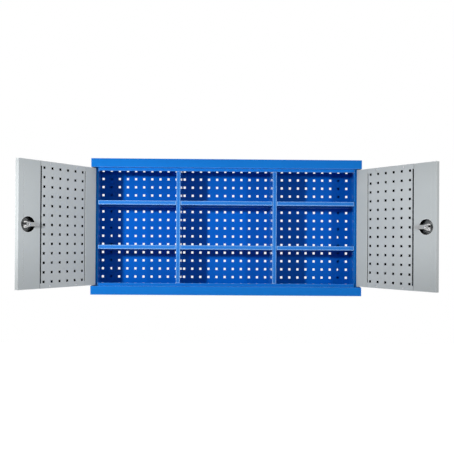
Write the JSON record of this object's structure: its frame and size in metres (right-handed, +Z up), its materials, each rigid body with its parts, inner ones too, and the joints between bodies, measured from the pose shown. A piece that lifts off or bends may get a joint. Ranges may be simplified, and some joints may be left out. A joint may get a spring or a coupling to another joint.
{
  "type": "wall tool cabinet",
  "caption": "Wide wall-hung steel tool cabinet with a perforated back, shelves in three bays, and two perforated doors that swing on pivots and lock behind the dividers.",
  "frame": {"origin": "on the wall face, in the middle of the upper four wall bolt holes and at mid height; the case's own middle is 3.3 mm to the right of it", "axes": "+X to the right seen from the front, +Y into the wall, +Z up"},
  "size_m": [1.6386, 0.5131, 0.591],
  "materials": {
    "case_paint": "semi-gloss blue powder coat",
    "door_paint": "semi-gloss light grey powder coat",
    "zinc_steel": "zinc plated",
    "lock_nickel": "nickel plated",
    "bush_nylon": "moulded nylon"
  },
  "bodies": {
    "cabinet": {"top_cap": "case_paint", "bottom_cap": "case_paint", "left_side": "case_paint", "right_side": "case_paint", "back_panel": "case_paint", "left_divider": "case_paint", "right_divider": "case_paint", "left_wall_rail": "case_paint", "right_wall_rail": "case_paint", "pivot_bushes": "bush_nylon", "upper_shelf_brackets": "case_paint", "lower_shelf_brackets": "case_paint", "upper_left_shelf": "case_paint", "upper_middle_shelf": "case_paint", "upper_right_shelf": "case_paint", "lower_left_shelf": "case_paint", "lower_middle_shelf": "case_paint", "lower_right_shelf": "case_paint"},
    "left_door": {"left_door_leaf": "door_paint", "left_door_panel": "door_paint", "left_door_rivets": "zinc_steel", "left_pivot_pins": "zinc_steel", "left_lock_housing": "lock_nickel", "left_lock_nut": "lock_nickel"},
    "right_door": {"right_door_leaf": "door_paint", "right_door_panel": "door_paint", "right_door_rivets": "zinc_steel", "right_pivot_pins": "zinc_steel", "right_lock_housing": "lock_nickel", "right_lock_nut": "lock_nickel"},
    "left_lock": {"left_lock_plug": "lock_nickel", "left_lock_cam": "lock_nickel", "left_cam_screw": "lock_nickel"},
    "right_lock": {"right_lock_plug": "lock_nickel", "right_lock_cam": "lock_nickel", "right_cam_screw": "lock_nickel"}
  },
  "joints": [
    {"name": "left_door_hinge", "type": "hinge", "parent": "cabinet", "child": "left_door", "pos_m": [-0.5752, -0.217, 0], "axis": [0, 0, 1], "range_deg": [-51.5, 128.5]},
    {"name": "right_door_hinge", "type": "hinge", "parent": "cabinet", "child": "right_door", "pos_m": [0.5818, -0.217, 0], "axis": [0, 0, -1], "range_deg": [-51.5, 128.5]},
    {"name": "left_lock_turn", "type": "hinge", "parent": "left_door", "child": "left_lock", "pos_m": [-0.78001, -0.47448, 0], "axis": [0.7826, -0.6225, 0], "range_deg": [0, 180]},
    {"name": "right_lock_turn", "type": "hinge", "parent": "right_door", "child": "right_lock", "pos_m": [0.78661, -0.47448, 0], "axis": [-0.7826, -0.6225, 0], "range_deg": [0, 180]}
  ]
}
